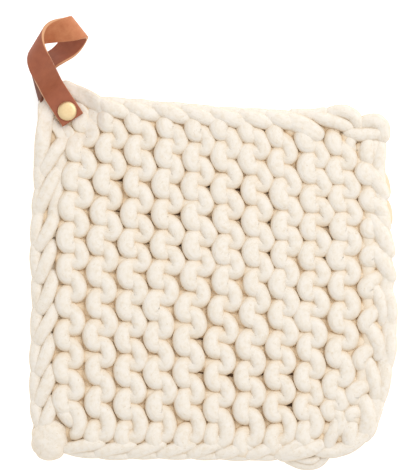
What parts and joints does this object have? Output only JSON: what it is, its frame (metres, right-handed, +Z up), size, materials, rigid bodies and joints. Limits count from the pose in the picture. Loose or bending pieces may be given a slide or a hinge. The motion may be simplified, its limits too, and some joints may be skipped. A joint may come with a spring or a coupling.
{
  "type": "knitted pot holder",
  "caption": "Square pot holder knitted in garter stitch from thick cotton yarn, with a riveted leather hanging loop at one corner.",
  "frame": {"origin": "middle of the mat's underside, on the surface that it lies on", "axes": "+Z up out of the face that shows, +Y along the knitted columns towards the loop's edge, +X to the right"},
  "size_m": [0.1997, 0.244, 0.0435],
  "materials": {
    "cotton": "matte thick yarn",
    "leather": "smooth grain outside, suede inside",
    "brass": "satin"
  },
  "bodies": {
    "root": {"mat": "cotton", "strap": "leather", "rivet_front": "brass", "rivet_back": "brass"}
  },
  "joints": []
}
